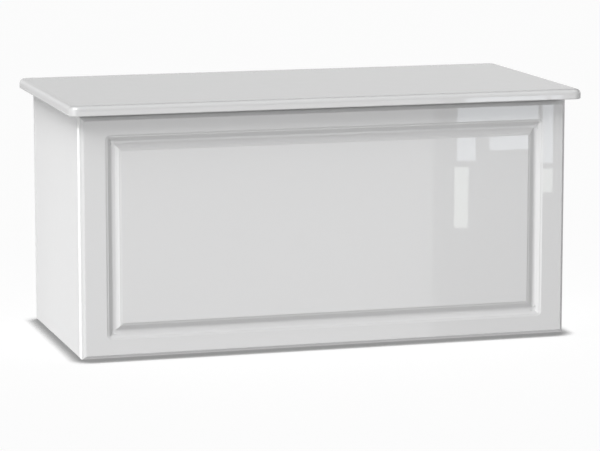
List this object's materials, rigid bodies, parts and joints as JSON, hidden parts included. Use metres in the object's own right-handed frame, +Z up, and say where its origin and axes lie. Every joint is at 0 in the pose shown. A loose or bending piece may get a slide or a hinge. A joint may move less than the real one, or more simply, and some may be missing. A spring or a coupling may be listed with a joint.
{
  "type": "toy box",
  "caption": "Rectangular storage chest for toys with a plain overhanging lid hinged at the back, folding lid stays and a routed frame line on its front.",
  "frame": {"origin": "centre of the footprint at floor level, below the middle of the lid", "axes": "+X to the right across the front, +Y from the front to the hinged back, +Z up"},
  "size_m": [0.944, 0.47, 0.4535],
  "materials": {
    "white_gloss_board": "white high-gloss foil on wood fibreboard",
    "white_satin_board": "white satin melamine on wood fibreboard",
    "pine_batten": "bare planed pine",
    "beech_dowel": "bare beech",
    "hinge_steel": "satin nickel plate",
    "stay_steel": "satin nickel plate",
    "rivet_steel": "turned steel",
    "zinc_screw": "bright zinc plate",
    "zinc_casting": "as-cast zinc alloy",
    "washer_nylon": "natural nylon",
    "cap_plastic": "white moulded plastic",
    "glide_plastic": "white moulded plastic",
    "buffer_rubber": "soft translucent grey"
  },
  "bodies": {
    "carcass": {"front_panel": "white_gloss_board", "back_panel": "white_satin_board", "left_side_panel": "white_satin_board", "right_side_panel": "white_satin_board", "base_panel": "white_satin_board", "base_batten_front": "pine_batten", "base_batten_back": "pine_batten", "base_batten_left": "pine_batten", "base_batten_right": "pine_batten", "batten_screws": "zinc_screw", "base_screws": "zinc_screw", "cam_locks": "zinc_casting", "cam_bolts": "zinc_screw", "cam_caps": "cap_plastic", "corner_dowels": "beech_dowel", "floor_glides": "glide_plastic", "lid_buffers": "buffer_rubber", "hinge_box_screws": "zinc_screw", "stay_side_screws": "zinc_screw", "hinge_left_box_leaf": "hinge_steel", "hinge_middle_box_leaf": "hinge_steel", "hinge_right_box_leaf": "hinge_steel", "hinge_left_pin": "hinge_steel", "hinge_middle_pin": "hinge_steel", "hinge_right_pin": "hinge_steel", "stay_left_side_bracket": "stay_steel", "stay_right_side_bracket": "stay_steel", "stay_left_side_rivet": "rivet_steel", "stay_right_side_rivet": "rivet_steel"},
    "lid": {"lid_panel": "white_gloss_board", "hinge_lid_screws": "zinc_screw", "stay_lid_screws": "zinc_screw", "hinge_left_lid_leaf": "hinge_steel", "hinge_middle_lid_leaf": "hinge_steel", "hinge_right_lid_leaf": "hinge_steel", "stay_left_lid_bracket": "stay_steel", "stay_right_lid_bracket": "stay_steel", "stay_left_lid_rivet": "rivet_steel", "stay_right_lid_rivet": "rivet_steel"},
    "left_lower_arm": {"stay_left_lower_arm": "stay_steel", "stay_left_elbow_rivet": "rivet_steel", "stay_left_elbow_washer": "washer_nylon"},
    "left_upper_arm": {"stay_left_upper_arm": "stay_steel"},
    "right_lower_arm": {"stay_right_lower_arm": "stay_steel", "stay_right_elbow_rivet": "rivet_steel", "stay_right_elbow_washer": "washer_nylon"},
    "right_upper_arm": {"stay_right_upper_arm": "stay_steel"}
  },
  "joints": [
    {"name": "lid_hinge", "type": "hinge", "parent": "carcass", "child": "lid", "pos_m": [0, 0.20575, 0.43325], "axis": [-1, 0, 0], "range_deg": [0, 90]},
    {"name": "left_lower_arm_pivot", "type": "hinge", "parent": "carcass", "child": "left_lower_arm", "pos_m": [-0.42865, 0.16064, 0.29019], "axis": [-1, 0, 0], "range_deg": [0, 90]},
    {"name": "left_elbow", "type": "hinge", "parent": "left_lower_arm", "child": "left_upper_arm", "pos_m": [-0.42555, 0.01136, 0.27555], "axis": [-1, 0, 0], "range_deg": [-90, 0]},
    {"name": "right_lower_arm_pivot", "type": "hinge", "parent": "carcass", "child": "right_lower_arm", "pos_m": [0.42865, 0.16064, 0.29019], "axis": [-1, 0, 0], "range_deg": [0, 90]},
    {"name": "right_elbow", "type": "hinge", "parent": "right_lower_arm", "child": "right_upper_arm", "pos_m": [0.42555, 0.01136, 0.27555], "axis": [-1, 0, 0], "range_deg": [-90, 0]}
  ],
  "couplings": [
    {"joint": "left_lower_arm_pivot", "follows": "lid_hinge", "ratio": 1},
    {"joint": "left_elbow", "follows": "lid_hinge", "ratio": -1},
    {"joint": "right_lower_arm_pivot", "follows": "lid_hinge", "ratio": 1},
    {"joint": "right_elbow", "follows": "lid_hinge", "ratio": -1}
  ]
}
